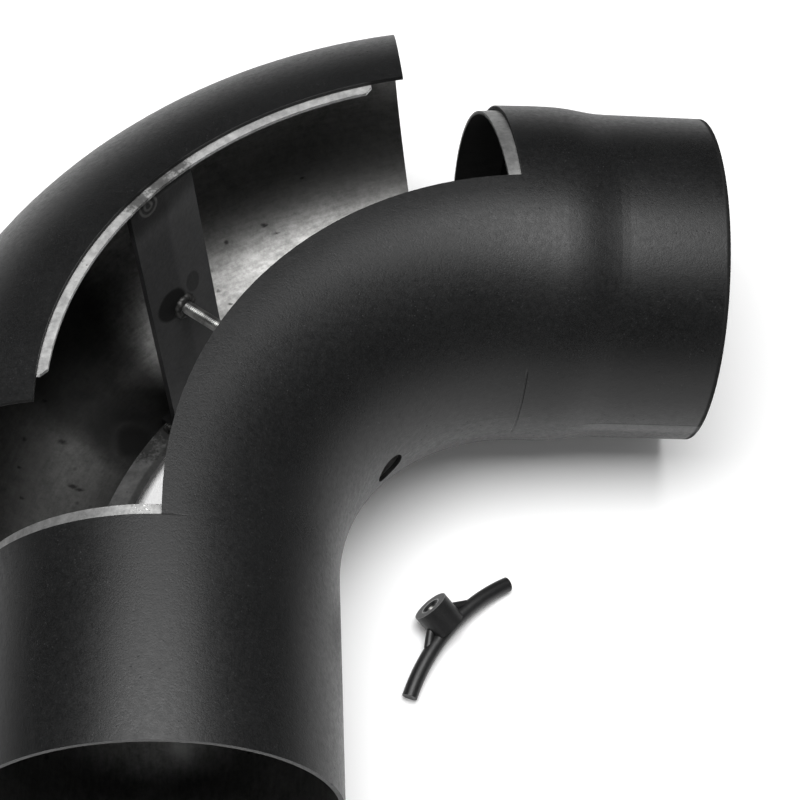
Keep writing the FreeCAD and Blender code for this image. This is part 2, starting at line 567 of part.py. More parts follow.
hold(turned, "depth", "dims.bore_depth", "DistanceY", floor_face, START, top_face, START, top_y - floor_y)
hold(turned, "mouth", "dims.bore_mouth / 2", "DistanceX", ORIGIN, START, mouth_face, START, mouth_r)
hold(turned, "mouth_depth", "(dims.bore_mouth - dims.thread_bore) / 2", "DistanceY",
     mouth_face, END, mouth_face, START, mouth_r - bore_r)
turn(boss, "Revolution", "blank", turned, (origin_feature(boss, "Y_Axis"), [""]))
BAR_CLEARANCE = "dims.bar_diameter + 2 * dims.joint_gap"
along_bow(boss, "Groove", "boss_cope", BAR_CLEARANCE)

# Two stubs brace the boss against the bow, one on each side
for name, side in (("left", -1), ("right", 1)):
    turned_over = Placement(Vector(), Rotation(Vector(0, 1, 0), 90 - 90 * side))
    stub = new_body(f"handle_stub_{name}", handle_rest * turned_over)
    rod_end = sketch_on(stub, "YZ", "rod")
    rod_end.AttachmentOffset = Placement(Vector(), Rotation(Vector(0, 1, 0), -size("stub_slant")))
    rod_end.setExpression("AttachmentOffset.Base.x", "dims.stub_rise")
    rod_end.setExpression("AttachmentOffset.Base.z", "dims.boss_diameter / 2 - dims.leg_diameter / 2")
    rod_end.setExpression("AttachmentOffset.Rotation.Angle", "-dims.stub_slant")
    circle(rod_end, "rod", "0", "dims.leg_diameter")
    pad(stub, f"brace_{name}", rod_end, "dims.stub_length")
    seat = sketch_on(stub, "XZ", "boss_clearance")
    circle(seat, "boss", "0", "dims.boss_diameter + 2 * dims.joint_gap")
    pad(stub, f"seat_{name}", seat, "4 * dims.boss_height", middle=True, kind="Pocket")
    along_bow(stub, "Groove", f"cope_{name}", BAR_CLEARANCE)

doc.recompute()
for item in doc.Objects:
    assert not {"Invalid", "Error"} & set(item.State), item.Name
for body in bodies:
    assert not body.Shape.isNull() and body.Shape.isValid(), body.Label
    assert len(body.Shape.Solids) == 1, body.Label
    body.Shape.exportStep(f"parts/{body.Label}.step")
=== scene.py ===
import math
from functools import reduce

import bpy
import numpy as np
from mathutils import Matrix, Vector


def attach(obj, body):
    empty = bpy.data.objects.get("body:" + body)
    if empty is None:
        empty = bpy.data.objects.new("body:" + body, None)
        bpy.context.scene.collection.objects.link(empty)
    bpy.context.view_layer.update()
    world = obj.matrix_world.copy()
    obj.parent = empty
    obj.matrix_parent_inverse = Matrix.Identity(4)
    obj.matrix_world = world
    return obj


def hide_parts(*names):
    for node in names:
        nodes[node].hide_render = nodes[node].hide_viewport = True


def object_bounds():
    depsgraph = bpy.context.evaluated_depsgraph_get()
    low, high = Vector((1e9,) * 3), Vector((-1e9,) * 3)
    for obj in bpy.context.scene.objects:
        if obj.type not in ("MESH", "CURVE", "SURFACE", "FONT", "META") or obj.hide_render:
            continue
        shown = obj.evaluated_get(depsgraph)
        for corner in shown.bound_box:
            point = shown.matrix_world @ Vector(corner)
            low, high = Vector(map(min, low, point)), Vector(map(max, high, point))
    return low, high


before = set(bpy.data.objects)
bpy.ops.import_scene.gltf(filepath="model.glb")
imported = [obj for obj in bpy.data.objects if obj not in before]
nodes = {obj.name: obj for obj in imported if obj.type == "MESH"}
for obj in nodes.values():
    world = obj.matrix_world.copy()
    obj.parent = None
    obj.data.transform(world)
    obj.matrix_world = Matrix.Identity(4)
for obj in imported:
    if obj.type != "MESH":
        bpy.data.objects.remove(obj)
cad_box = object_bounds()
scene = bpy.context.scene

# Camera: the picture is taken from above and slightly to the left, with a long lens, looking down
# on the elbow as it lies on its side. The camera's three axes are its right, up and back.
RIGHT = (0.99240, -0.03645, 0.11751)
UP = (-0.02930, 0.85762, 0.51346)
BACK = (-0.11949, -0.51300, 0.85003)
EYE = (-0.02013, -0.34723, 0.89987)
PICTURE_PX = 800
FOCAL_PX = 2383.39
SENSOR_MM = 36.0
camera = bpy.data.objects.new("camera", bpy.data.cameras.new("camera"))
turn = Matrix((RIGHT, UP, BACK)).transposed().to_4x4()
camera.matrix_world = Matrix.Translation(EYE) @ turn
camera.data.sensor_width = SENSOR_MM
camera.data.lens = FOCAL_PX / PICTURE_PX * SENSOR_MM
camera.data.clip_start = 0.05
camera.data.clip_end = 20.0
scene.collection.objects.link(camera)
scene.camera = camera
scene.view_settings.view_transform = "Standard"


# Table: the parts lie on a white photographer's table. Its sheet is plain and matt, and a little
# whiter to the camera. The metal mirrors it as white as it lies in the light.
class Reading:
    """A value read somewhere on a surface. Arithmetic on readings adds Math nodes to their
    material, and make() adds any other node."""

    def __init__(self, tree, socket):
        self.tree = tree
        self.socket = socket

    def make(self, kind, settings=None, inputs=None, output=0):
        """New node of a kind, with its settings first and then the values or links of its sockets."""
        node = self.tree.nodes.new("ShaderNode" + kind)
        for name, value in (settings or {}).items():
            setattr(node, name, value)
        for name, value in (inputs or {}).items():
            if isinstance(value, Reading):
                self.tree.links.new(value.socket, node.inputs[name])
            else:
                node.inputs[name].default_value = value
        return Reading(self.tree, node.outputs[output])

    def math(self, operation, *values):
        return self.make("Math", {"operation": operation}, dict(enumerate(values)))

    def __add__(self, other):
        return self.math("ADD", self, other)

    __radd__ = __add__

    def __sub__(self, other):
        return self.math("SUBTRACT", self, other)

    def __rsub__(self, other):
        return self.math("SUBTRACT", other, self)

    def __mul__(self, other):
        return self.math("MULTIPLY", self, other)

    __rmul__ = __mul__

    def __truediv__(self, other):
        return self.math("DIVIDE", self, other)

    def __pow__(self, other):
        return self.math("POWER", self, other)

    def low(self, other):
        return self.math("MINIMUM", self, other)

    def high(self, other):
        return self.math("MAXIMUM", self, other)

    def grade(self, start, end, low=0.0, high=1.0):
        """Runs smoothly from low to high while the reading goes from start to end."""
        ends = {"From Min": start, "From Max": end, "To Min": low, "To Max": high}
        settings = {"interpolation_type": "SMOOTHSTEP", "clamp": True}
        return self.make("MapRange", settings, {"Value": self, **ends})

    def near(self, place, reach, soft):
        """1 within reach of a place on this reading's scale, falling to 0 over soft."""
        return self.math("ABSOLUTE", self - place).grade(reach, reach + soft, 1.0, 0.0)

    def axes(self):
        """The three parts of a place: x, y and z."""
        return [self.make("SeparateXYZ", None, {"Vector": self}, k) for k in range(3)]

    def distance(self, place):
        """Distance of the reading from a place, in metres."""
        return self.make("VectorMath", {"operation": "DISTANCE"}, {0: self, 1: place}, 1)

    def carried(self, matrix):
        """Place carried by a turn and a shift."""
        where = {"Location": matrix.to_translation(), "Rotation": matrix.to_euler()}
        return self.make("Mapping", None, {"Vector": self, **where})

    def stretched(self, factors):
        """Place with each axis multiplied by its factor."""
        return self.make("Mapping", None, {"Vector": self, "Scale": factors})

    def noise(self, scale, detail=3.0, roughness=0.5, stretch=None):
        """Cloudy pattern about 0.5, with the reading as its place."""
        place = self.stretched(stretch) if stretch else self
        sizes = {"Scale": scale, "Detail": detail, "Roughness": roughness}
        return self.make("TexNoise", None, {"Vector": place, **sizes})

    def cells(self, scale):
        """Distance to the nearest of many scattered points, in cell widths."""
        return self.make("TexVoronoi", None, {"Vector": self, "Scale": scale})

    def over(self, base, top):
        """Colour that is base where the reading is 0 and top where it is 1."""
        settings = {"data_type": "RGBA", "clamp_factor": True}
        return self.make("Mix", settings, {0: self, 6: base, 7: top}, 2)

    def tint(self, dark, light):
        """Colour from dark at 0 to light at 1."""
        return self.over((*dark, 1), (*light, 1))


def finish(name):
    """Empty material, with a reading of the place on the object."""
    material = bpy.data.materials.new(name)
    material.use_nodes = True
    tree = material.node_tree
    tree.nodes.clear()
    return material, Reading(tree, tree.nodes.new("ShaderNodeTexCoord").outputs["Object"])


def close(at, sockets, height=None, depth=0.001):
    """Ends a material in one shader; height times depth in metres raises its surface."""
    if height is not None:
        sockets["Normal"] = at.make("Bump", None, {"Height": height, "Distance": depth, "Strength": 1.0})
    shader = at.make("BsdfPrincipled", None, sockets)
    out = at.tree.nodes.new("ShaderNodeOutputMaterial")
    at.tree.links.new(shader.socket, out.inputs["Surface"])


def dress(obj, material):
    """Gives an object one material all over."""
    obj.data.materials.clear()
    obj.data.materials.append(material)


def ray_kinds(tree):
    """1 on rays straight from the camera, and 1 on rays that metal mirrors or glass lets through."""
    kinds = tree.nodes.new("ShaderNodeLightPath").outputs
    straight, glossy, through = (Reading(tree, kinds[name]) for name in (
        "Is Camera Ray", "Is Glossy Ray", "Is Transmission Ray"))
    return straight, glossy.high(through)


TABLE_Z = cad_box[0].z
TABLE_HALF = 3
TABLE_WHITE = 0.86
WHITER_TO_CAMERA = 0.13
corners = [(x * TABLE_HALF, y * TABLE_HALF, TABLE_Z) for x, y in ((-1, -1), (1, -1), (1, 1), (-1, 1))]
sheet = bpy.data.meshes.new("table_sheet")
sheet.from_pydata(corners, [], [(0, 1, 2, 3)])
table = bpy.data.objects.new("table_sheet", sheet)
scene.collection.objects.link(table)
white, at = finish("white_table")
looked_at, mirrored = ray_kinds(at.tree)
sheet_shade = TABLE_WHITE + looked_at * WHITER_TO_CAMERA
glow = looked_at.high(mirrored) * 0.05
close(at, {"Base Color": sheet_shade.tint((0, 0, 0), (1, 1, 1)), "Roughness": 0.9,
           "Specular IOR Level": 0.0, "Emission Color": (1, 1, 1, 1), "Emission Strength": glow})
dress(table, white)

# Light: one large soft box hangs straight above, as the broad streak along the tops of the pipes
# shows. The camera sees a white room. In the metal only its lowest part is white, the rest dark.
ROOM_LIGHT = 0.2
HORIZON = 0.03
DARK_SKY = 0.03
lamp = bpy.data.lights.new("soft_box", "AREA")
lamp.shape = "RECTANGLE"
lamp.size = 1.0
lamp.size_y = 0.8
lamp.energy = 22.0
box = bpy.data.objects.new("soft_box", lamp)
box.location = (-0.05, 0.12, 1.15)
scene.collection.objects.link(box)

room = bpy.data.worlds.new("white_room")
room.use_nodes = True
scene.world = room
tree = room.node_tree
tree.nodes.clear()
where = Reading(tree, tree.nodes.new("ShaderNodeTexCoord").outputs["Generated"])
shown, mirrored = ray_kinds(tree)
sky = where.axes()[2].grade(-0.02, HORIZON, 1.0, DARK_SKY)
light = shown + mirrored * sky + (1.0 - shown.high(mirrored)) * ROOM_LIGHT
background = where.make("Background", None, {"Color": (1, 1, 1, 1), "Strength": light})
room_out = tree.nodes.new("ShaderNodeOutputWorld")
tree.links.new(background.socket, room_out.inputs["Surface"])

# Elbow: a 2 mm steel tube bent cold on a mandrel and necked at one end, matt black heat-proof
# paint outside and bare mill steel inside. The opening and the stud hole are cut after bending.
BEND_CENTRE = (0.165, 0.101)
BEND_RADIUS = 0.165
BORE_R = 0.075
PAINT_EDGE_R = BORE_R + 0.0003
SAWN_MIDDLE_R = BORE_R + 0.0008
SAWN_HALF = 0.0007
DEEP_BLACK = (0.0036, 0.0037, 0.0038)
PALE_BLACK = (0.0088, 0.0090, 0.0092)
PAINT_SHEEN = 0.34
SCRATCH_AND_SHADE_BLACK = (0.002, 0.002, 0.002, 1)
NECK_FROM = 0.173
NECK_TO = 0.201
NECK_DROP = 0.0025
STEP_FROM = 0.181
STEP_LENGTH = 0.016
RIM_X = 0.244
SMUDGE_AT = (0.0142, 0.0587, -0.0736)
KERF_Y = 0.0945
CREASE_X = 0.1587
SEAM_ANGLE = -3.03


def along_pipe(at):
    """Where a point is on the bent pipe: its distance from the centre line, the length along the
    centre line measured from the spigot end of the bend, the angle round it, and its x, y and z."""
    x, y, z = at.axes()
    across = (x - BEND_CENTRE[0]).low(0.0)
    ahead = (y - BEND_CENTRE[1]).high(0.0)
    radius = (across * across + ahead * ahead) ** 0.5
    out = radius - BEND_RADIUS
    depth = (out * out + z * z) ** 0.5
    swung = at.math("ARCTAN2", 0.0 - across, ahead)
    length = swung * BEND_RADIUS + (BEND_CENTRE[1] - y).high(0.0)
    around = at.math("ARCTAN2", z, out)
    return depth, length, around, x, y, z


def painted_outside(at):
    """Matt black paint: colour, roughness and height, with fine grains and faint clouds."""
    grain = at.noise(1300.0, 2.0, 0.6)
    clouds = at.noise(14.0, 3.0, 0.55)
    specks = at.cells(520.0).grade(0.05, 0.2, 1.0, 0.0) * at.noise(90.0, 2.0).grade(0.42, 0.7)
    pits = at.cells(260.0).grade(0.04, 0.14, 1.0, 0.0) * at.noise(45.0, 1.0).grade(0.45, 0.6)
    mottle = at.noise(420.0, 3.0, 0.6)
    shade = grain.grade(0.25, 0.8) * 0.55 + clouds.grade(0.3, 0.7) * 0.45
    colour = (specks * 0.45).over(shade.tint(DEEP_BLACK, PALE_BLACK), (0.06, 0.06, 0.061, 1))
    rough = 0.4 + (grain - 0.5) * 0.16 + (mottle - 0.5) * 0.3 + (clouds - 0.5) * 0.08 + pits * 0.25
    raised = grain * 0.9 + mottle * 0.7 - pits * 0.8
    return colour, rough, raised


def bare_inside(at, around, length):
    """Mill steel: cloudy grey with darker scale, fine drawn lines and small black spots."""
    patches = at.noise(40.0, 4.0, 0.6)
    blotches = at.noise(170.0, 4.0, 0.7)
    fine = at.noise(560.0, 4.0, 0.7)
    flow = at.make("CombineXYZ", None, {"X": length * 0.2, "Y": around * BORE_R + patches * 0.004})
    drawn = flow.noise(520.0, 3.0, 0.7)
    spots = at.cells(90.0).grade(0.05, 0.15, 1.0, 0.0) * at.noise(22.0, 1.0).grade(0.55, 0.66)
    shade = patches.grade(0.25, 0.8) * 0.28 + blotches.grade(0.3, 0.7) * 0.28
    shade = shade + fine.grade(0.25, 0.75) * 0.24 + drawn.grade(0.3, 0.7) * 0.2
    colour = shade.tint((0.10, 0.10, 0.098), (0.40, 0.397, 0.388))
    colour = (spots * 0.85).over(colour, (0.015, 0.015, 0.015, 1))
    rough = 0.44 - shade * 0.1 + spots * 0.2
    return colour, rough, fine * 0.6 + drawn * 0.3 + patches * 0.1


def sawn_edge(depth):
    """1 in the middle of the wall, which shows only where it is sawn through."""
    return depth.near(SAWN_MIDDLE_R, SAWN_HALF, 0.0001)


def close_pipe(at, inside, sawn, outer, inner, metal, dents=0.0):
    """Ends the material of a piece of pipe: outer paint, inner steel and black sawn edges. outer
    and inner are each a colour, a roughness and a height."""
    colour = sawn.over(inside.over(outer[0], inner[0]), (0.004, 0.004, 0.004, 1))
    rough = (inside * inner[1] + (1.0 - inside) * outer[1]).high(sawn * 0.8)
    raised = outer[2] * (1.0 - inside) + inner[2] * inside - dents
    close(at, {"Base Color": colour, "Metallic": inside * (1.0 - sawn) * metal, "Roughness": rough,
               "Specular IOR Level": PAINT_SHEEN}, raised, 0.00006)


paint, at = finish("black_pipe_paint")
depth, length, around, x, y, z = along_pipe(at)
necked = x.grade(NECK_FROM, NECK_TO, 0.0, NECK_DROP)
inside = (PAINT_EDGE_R - necked - depth).grade(-0.0001, 0.0001)
colour, rough, raised = painted_outside(at)
steel_colour, steel_rough, steel_raised = bare_inside(at, around, length)
# The bore's bare steel is darkened all over with a cloudy near-black.
bore_darkening = at.noise(25.0, 3.0, 0.6).grade(0.3, 0.75, 0.62, 0.7)
steel_colour = bore_darkening.over(steel_colour, (0.01, 0.01, 0.01, 1))
# Painted shade: deep in the bore, towards the spigot leg, the steel is painted almost black.
deep_bore_shade = x.grade(0.1, 0.14)
steel_colour = (deep_bore_shade * 0.97).over(steel_colour, (0.003, 0.003, 0.003, 1))
wiped = at.distance(SMUDGE_AT) + (at.noise(160.0, 4.0, 0.7) - 0.5) * 0.014
steel_colour = wiped.grade(0.0, 0.011, 0.4, 0.0).over(steel_colour, (0.3, 0.3, 0.295, 1))
steel_rough = steel_rough + 0.15 + deep_bore_shade * 0.25
sawn = sawn_edge(depth) * x.grade(0.17, 0.172, 1.0, 0.0) * y.grade(0.001, 0.003)
# Painted shade: the last millimetre of the spigot's open end is painted near black.
rim_shade = x.grade(RIM_X - 0.0012, RIM_X)
rough = rough + rim_shade * 0.45
colour = rim_shade.over(colour, SCRATCH_AND_SHADE_BLACK)
step = ((x - STEP_FROM) / STEP_LENGTH).high(0.0).low(1.0)
raised = raised - step * step * 6.0
# Marks: the saw has run on past the opening's corner, and the bend has left a crease in the spigot
# leg, painted dark as the shade in its fold. The paint ends at a seam on the neck, and under it the
# paint is paler along the underside as a painted reflection.
kerf = y.near(KERF_Y, 0.00012, 0.0002) * x.grade(0.0, 0.012, 1.0, 0.0)
kerf = kerf * x.grade(-0.001, 0.0) * z.grade(0.0, 0.01)
shaded_crease = x.near(CREASE_X, 0.0003, 0.0004) * y.grade(0.221, 0.241, 1.0, 0.0) * z.near(0.007, 0.02, 0.004)
seam = around.near(SEAM_ANGLE, 0.002, 0.003) * x.grade(0.188, 0.2)
# Painted reflection: the paint under the seam is paler along the neck's underside.
reflection_band = around.grade(SEAM_ANGLE, SEAM_ANGLE + 0.03) * around.grade(-2.86, -2.94) * x.grade(0.185, 0.2)
for line, strength in ((kerf, 0.6), (shaded_crease, 0.95), (seam, 0.9)):
    colour = (line * strength).over(colour, SCRATCH_AND_SHADE_BLACK)
colour = reflection_band.over(colour, (0.06, 0.06, 0.0605, 1))
close_pipe(at, inside, sawn, (colour, rough, raised), (steel_colour, steel_rough, steel_raised), 0.8,
           dents=kerf * 3.0 + shaded_crease * 6.0 + seam * 6.0)
dress(nodes["elbow_body"], paint)


# End strips: two arcs of bare galvanised strip, rolled to the bore and spot welded under the
# cross cuts of the opening, so that they stand out as seats for the door.
STRIP_FACE_R = 0.0736


def galvanised(name, brightness, scorches=(), burrs=False, rolled=False, lapped=None):
    """Bright strip: mottled spangle, scratches across it and a few dark spots. Its second argument
    scales its brightness, so that copies of this one steel get painted light and painted shade.
    Each scorch is a place and a reach. burrs are the bright nicks of the saw at one end. A rolled
    strip has its face to the bore painted near black as shade. One that is lapped has painted shade
    where it stands past the door, and lapped turns a place on it back into the seat."""
    material, at = finish(name)
    burns = []
    for place, reach in scorches:
        ragged = at.distance(place) + (at.noise(480.0, 3.0, 0.7) - 0.5) * reach * 1.9
        burns.append(ragged.grade(reach * 0.3, reach * 1.1, 1.0, 0.0))
    spangle = at.noise(260.0, 5.0, 0.7)
    coarse = at.noise(60.0, 3.0, 0.6)
    rubbed = at.noise(300.0, 3.0, 0.7, (0.25, 0.25, 2.5))
    spots = at.cells(330.0).grade(0.1, 0.22, 1.0, 0.0) * at.noise(60.0, 1.0).grade(0.5, 0.62)
    shade = spangle.grade(0.25, 0.75) * 0.6 + coarse.grade(0.3, 0.7) * 0.25
    shade = shade + rubbed.grade(0.3, 0.7) * 0.15
    colour = shade.tint([v * brightness for v in (0.33, 0.33, 0.33)], [v * brightness for v in (0.78, 0.78, 0.77)])
    colour = (spots * 0.7).over(colour, (0.05, 0.05, 0.05, 1))
    if burns:
        colour = (reduce(Reading.high, burns) * 0.78).over(colour, (0.02, 0.02, 0.019, 1))
    if rolled:
        # Painted shade: the face to the bore is painted near black.
        depth = along_pipe(at)[0]
        bore_face_shade = depth.grade(STRIP_FACE_R, STRIP_FACE_R + 0.0006, 0.96, 0.0)
        colour = bore_face_shade.over(colour, (0.01, 0.01, 0.01, 1))
    if lapped:
        # Painted shade where the strip stands past the door.
        around = along_pipe(lapped(at))[2]
        colour = around.grade(-1.585, -1.565, 0.5, 0.0).over(colour, (0.02, 0.02, 0.02, 1))
    raised = spangle * 0.5 + rubbed * 0.5
    if burrs:
        x = at.axes()[0]
        nicks = at.noise(620.0, 3.0, 0.65, (1.0, 2.2, 1.0)).grade(0.6, 0.64) * x.grade(-0.016, -0.006)
        nicks = nicks.high(at.noise(600.0, 2.0, 0.6).grade(0.72, 0.75) * x.grade(-0.06, -0.02))
        colour = nicks.over(colour, (0.95, 0.95, 0.94, 1))
        raised = raised + nicks
    rough = 0.42 + spangle * 0.16
    close(at, {"Base Color": colour, "Metallic": 0.75, "Roughness": rough}, raised, 0.00015)
    return material


# Painted shade: both end strips get about half the brightness of the strip steel.
dress(nodes["socket_end_strip"], galvanised("socket_end_strip_steel", 0.48, burrs=True, rolled=True))
dress(nodes["spigot_end_strip"], galvanised("spigot_end_strip_steel", 0.5, rolled=True))

# Door: the half of the tube that was cut out, so it has the same paint and the same bare inside.
# It leans outwards on the table, and its pattern is read as if it were still in its seat.
DOOR_MIDDLE = math.radians(137.0)
DOOR_LEAN = math.radians(14.5)
DOOR_SHIFT = Vector((0.0469, 0.0026, 0))
seat = Matrix.Translation((*BEND_CENTRE, 0)) @ Matrix.Rotation(DOOR_MIDDLE, 4, "Z")
pivot = Matrix.Translation((BEND_RADIUS, 0, 0))
lean = pivot @ Matrix.Rotation(DOOR_LEAN, 4, "Y") @ pivot.inverted()
door_place = seat @ Matrix.Translation(DOOR_SHIFT) @ lean @ seat.inverted()
back_in_seat = door_place.inverted()


def in_seat(at):
    """Place on the loose door, turned back to where it is when the door is shut."""
    return at.carried(back_in_seat)


NEAR_BLACK = (0.006, 0.006, 0.006, 1)
SCORCH_AT = (0.0125, 0.1965, -0.0735)
HAZE_AT = (0.005, 0.2, -0.072)
# Small dark dashes on the bare inside: x, y and z of the shut door in millimetres, and a reach.
DASHES = ((-19.3, 190.8, -63.4, 1.7), (-34.9, 186.2, -53.7, 1.4), (-36.7, 172.0, -56.9, 1.0),
          (-14.5, 169.1, -69.9, 1.5), (-11.6, 167.7, -71.1, 1.2), (-35.5, 157.5, -61.2, 0.9),
          (-26.1, 207.2, -52.3, 0.9), (77.2, 306.0, -47.4, 1.2), (82.6, 304.2, -51.7, 0.9),
          (53.2, 277.1, -61.0, 1.3), (58.6, 272.0, -65.5, 0.9), (7.1, 169.3, -72.8, 1.0),
          (97.5, 322.8, -33.9, 0.7))
DASH_SHAPE = (0.6, 1.25, 1.0)
shell_paint, at = finish("door_shell_paint")
at = in_seat(at)
depth, length, around = along_pipe(at)[:3]
inside = (PAINT_EDGE_R - depth).grade(-0.0001, 0.0001)
outer = painted_outside(at)
steel_colour, steel_rough, steel_raised = bare_inside(at, around, length)
smoke_and_shade = at.noise(70.0, 3.0, 0.6) - 0.5
scorch = (at.distance(SCORCH_AT) + smoke_and_shade * 0.009).grade(0.0058, 0.0142, 1.0, 0.0)
haze = (at.distance(HAZE_AT) + smoke_and_shade * 0.014).grade(0.009, 0.021, 0.5, 0.0)
steel_colour = scorch.high(haze).over(steel_colour, NEAR_BLACK)
wisps = at.noise(420.0, 3.0, 0.7, (0.5, 0.5, 1.4)) - 0.5
drawn_out = at.stretched(DASH_SHAPE)
dashes = []
for *place, reach in DASHES:
    middle = [p / 1000 * s for p, s in zip(place, DASH_SHAPE)]
    away = drawn_out.distance(middle) + wisps * 0.0035
    dashes.append(away.grade(0.0, reach * 0.0014, 1.0, 0.0))
steel_colour = (reduce(Reading.high, dashes) * 0.85).over(steel_colour, NEAR_BLACK)
# Painted shade: the bare inner wall is darkened from the yoke on towards the socket end, less so near
# that end.
shaded = length.grade(0.115, 0.142, 0.0, 0.88) - length.grade(0.172, 0.19, 0.0, 0.34)
steel_colour = (shaded + smoke_and_shade * 0.2).over(steel_colour, (0.016, 0.016, 0.0158, 1))
steel_rough = steel_rough + scorch * 0.2
close_pipe(at, inside, sawn_edge(depth), outer, (steel_colour, steel_rough, steel_raised), 1.0)
dress(nodes["door_shell"], shell_paint)

# Side strips: bright bare strips, spot welded under the door's long edges with their corners
# snipped, so that the door drops over the pipe's edge and seals. Painted light makes the upper one
# a little brighter still, and painted shade makes the lower one much darker.
# Scorches: x, y and z in the shut door's place in millimetres, and a reach.
SCORCHES = ((54, 223, 74.6, 7), (46, 214, 74.6, 10), (37, 204, 74.6, 9), (28, 203, -73.3, 16),
            (18, 191, -73.3, 9))
scorched = [(door_place @ (Vector(place) / 1000), reach / 1000) for *place, reach in SCORCHES]
dress(nodes["door_side_strip_upper"], galvanised("side_strip_steel", 1.1, scorched))
dress(nodes["door_side_strip_lower"], galvanised("lower_strip_steel", 0.33, scorched, lapped=in_seat))

# Yoke: a flat strap with bent feet, plug welded across the door. It keeps its dark mill scale,
# and has black ovals round the stud and darker ends.
MILL_DARK = (0.04, 0.04, 0.041)
MILL_LIGHT = (0.09, 0.09, 0.091)
PLUG_ON_FACE = (0.008, 0.069)
mill_scale, at = finish("yoke_mill_scale")
v, w = at.carried(seat.inverted() @ back_in_seat).axes()[1:]
cloud = at.noise(30.0, 4.0, 0.55)
fine = at.noise(500.0, 3.0, 0.6)


def out_from(v0, w0, half_v=1.0, half_w=1.0):
    """Square of the distance from a place on the yoke's face, measured in the two halves given."""
    beside = (v - v0) / half_v
    above = (w - w0) / half_w
    return beside * beside + above * above


def oval(v0, w0, half_v, half_w):
    """1 inside an oval on the yoke's face, with a cloudy edge."""
    return (out_from(v0, w0, half_v, half_w) + (cloud - 0.5) * 0.8).grade(0.75, 1.2, 1.0, 0.0)


dark_ovals = oval(0.0065, 0.0055, 0.0085, 0.0085).high(oval(0.0, 0.0, 0.006, 0.006))
dark_ovals = dark_ovals.high(oval(-0.0075, 0.0095, 0.004, 0.006) * 0.5)
ends = (w.math("ABSOLUTE", w) + (cloud - 0.5) * 0.02).grade(0.054, 0.066)
# Painted light and shade: one half of the face, along its length, is lighter than the other.
shaded_half = (v + 0.001 + (cloud - 0.5) * 0.006).grade(-0.0015, 0.0015)
shade = cloud.grade(0.3, 0.7) * 0.35 + fine.grade(0.3, 0.7) * 0.25 + (1.0 - shaded_half) * 0.4
colour = dark_ovals.high(ends * 0.7).over(shade.tint(MILL_DARK, MILL_LIGHT), NEAR_BLACK)
# Painted highlight: two pale rings on the yoke round the plug, where the rim of its weld would catch the
# light.
from_plug = out_from(*PLUG_ON_FACE) ** 0.5 + (cloud - 0.5) * 0.004
plug_rim_highlight = from_plug.near(0.0055, 0.0003, 0.0006).high(from_plug.near(0.0028, 0.0003, 0.0006))
colour = (plug_rim_highlight * 0.45).over(colour, (0.16, 0.16, 0.155, 1))
raised = fine * 0.5 + cloud * 0.5
close(at, {"Base Color": colour, "Metallic": 0.5, "Roughness": 0.46 + dark_ovals * 0.2}, raised, 0.0002)
dress(nodes["door_yoke"], mill_scale)


# Stud: a length of M6 threaded rod. Its thread is one long wedge wound round the core, a
# millimetre to the turn, and it leaves the throat of the bend to take the handle.
def tube_grid(name, points, material, cap_ends=True):
    """Mesh from a grid of points, rows along it and columns round it, which close on themselves."""
    rows, columns = points.shape[:2]
    row, column = np.meshgrid(np.arange(rows - 1), np.arange(columns), indexing="ij")
    after = (column + 1) % columns
    quads = np.stack([row * columns + column, row * columns + after,
                      (row + 1) * columns + after, (row + 1) * columns + column], -1).reshape(-1, 4)
    faces = [tuple(q) for q in quads.tolist()]
    if cap_ends:
        faces += [tuple(range(columns))[::-1], tuple(range((rows - 1) * columns, rows * columns))]
    mesh = bpy.data.meshes.new(name)
    mesh.from_pydata(points.reshape(-1, 3).tolist(), [], faces)
    mesh.update()
    mesh.shade_smooth()
    obj = bpy.data.objects.new(name, mesh)
    scene.collection.objects.link(obj)
    dress(obj, material)
    return obj


def placed(points, matrix):
    """Points carried by a matrix, as whole arrays."""
    m = np.array(matrix)
    return points @ m[:3, :3].T + m[:3, 3]


def thread_grid(start, length, pitch, columns=28, per_turn=7):
    """Rows s along a thread, columns angle round it, and wave(s, angle), which is 0 to 1 across
    the flanks: ramp(s / pitch - angle / 2 pi), a triangle wave with flattened crests."""
    s = np.linspace(start, start + length, int(length / pitch * per_turn) + 1)[:, None]
    angle = np.linspace(0, 2 * np.pi, columns, endpoint=False)[None, :]
    ramp = np.abs(((s / pitch - angle / (2 * np.pi)) % 1) * 2 - 1)
    return s, angle, np.clip(ramp * 1.25 - 0.12, 0, 1)


def threaded_rod(start, length, radius, pitch):
    """Radius at (s, angle) = radius - 0.6 * pitch * wave(s, angle), running back along x from
    start. The free end has a small chamfer."""
    s, angle, wave = thread_grid(0, length, pitch)
    chamfer = np.clip(1 - (length - s) / CHAMFER, 0, 1)
    r = np.minimum(radius - 0.6 * pitch * wave, radius - 0.8 * CHAMFER * chamfer)
    return np.stack([start - s + 0 * angle, r * np.cos(angle), r * np.sin(angle)], -1)[:, ::-1]


STUD_R = 0.003
PITCH = 0.001
CHAMFER = 0.001
STUD_START = BEND_RADIUS - 0.003
STUD_LENGTH = 0.089
door_local = door_place @ seat
rod_steel, at = finish("zinc_plated_thread")
brightness = at.noise(120.0, 3.0, 0.6)
colour = brightness.grade(0.3, 0.7).tint((0.17, 0.17, 0.167), (0.48, 0.477, 0.465))
rough = 0.32 + at.noise(40.0, 2.0) * 0.15
close(at, {"Base Color": colour, "Metallic": 1.0, "Roughness": rough}, brightness, 0.00008)
rod = threaded_rod(STUD_START, STUD_LENGTH, STUD_R, PITCH)
stud = tube_grid("stud_thread", placed(rod, door_local), rod_steel)
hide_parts("door_stud")
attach(stud, "door")

